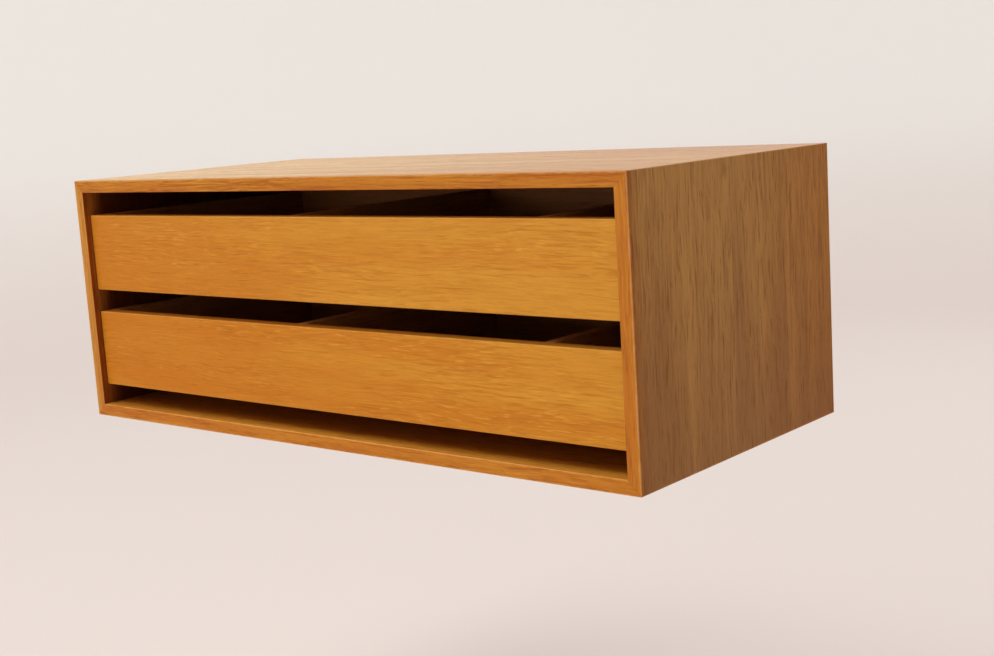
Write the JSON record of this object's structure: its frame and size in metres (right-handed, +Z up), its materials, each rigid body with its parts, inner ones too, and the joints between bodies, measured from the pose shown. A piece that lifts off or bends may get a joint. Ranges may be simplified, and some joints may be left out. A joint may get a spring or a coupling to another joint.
{
  "type": "floating nightstand",
  "caption": "Wall-hung oak nightstand: a mitred case with an open front and handle-less drawers on side runners, pulled by the gaps between their fronts.",
  "frame": {"origin": "midway between the round entries of the two keyhole hangers, in the plane of the wall", "axes": "+X to the viewer's right along the front, +Y into the wall, +Z up"},
  "size_m": [0.7, 0.32, 0.25],
  "materials": {
    "oak_veneer": "oiled oak veneer, satin",
    "solid_oak_edge": "oiled solid oak, long grain along each edge",
    "oak_front": "oiled oak veneer, grain across the front, satin",
    "drawer_oak": "oak, waxed",
    "plywood": "oak-faced plywood",
    "beech": "plain beech, waxed where it slides",
    "zinc_steel": "dull zinc-plated steel"
  },
  "bodies": {
    "case": {"top_panel": "oak_veneer", "bottom_panel": "oak_veneer", "left_side_panel": "oak_veneer", "right_side_panel": "oak_veneer", "top_lipping": "solid_oak_edge", "bottom_lipping": "solid_oak_edge", "left_lipping": "solid_oak_edge", "right_lipping": "solid_oak_edge", "top_left_spline": "beech", "top_right_spline": "beech", "bottom_left_spline": "beech", "bottom_right_spline": "beech", "back_panel": "plywood", "hanging_rail": "beech", "left_hanger_plate": "zinc_steel", "right_hanger_plate": "zinc_steel", "hanger_screws": "zinc_steel", "lower_left_runner": "beech", "lower_right_runner": "beech", "upper_left_runner": "beech", "upper_right_runner": "beech", "runner_screws": "zinc_steel", "back_panel_pins": "zinc_steel"},
    "upper_drawer": {"upper_drawer_front": "oak_front", "upper_drawer_left_side": "drawer_oak", "upper_drawer_right_side": "drawer_oak", "upper_drawer_back": "drawer_oak", "upper_drawer_bottom": "plywood", "upper_drawer_middle_partition": "drawer_oak", "upper_drawer_right_partition": "drawer_oak", "upper_drawer_bottom_screws": "zinc_steel"},
    "lower_drawer": {"lower_drawer_front": "oak_front", "lower_drawer_left_side": "drawer_oak", "lower_drawer_right_side": "drawer_oak", "lower_drawer_back": "drawer_oak", "lower_drawer_bottom": "plywood", "lower_drawer_middle_partition": "drawer_oak", "lower_drawer_right_partition": "drawer_oak", "lower_drawer_bottom_screws": "zinc_steel"}
  },
  "joints": [
    {"name": "upper_drawer_slide", "type": "slide", "parent": "case", "child": "upper_drawer", "axis": [0, -1, 0], "range_m": [0, 0.2]},
    {"name": "lower_drawer_slide", "type": "slide", "parent": "case", "child": "lower_drawer", "axis": [0, -1, 0], "range_m": [0, 0.2]}
  ]
}
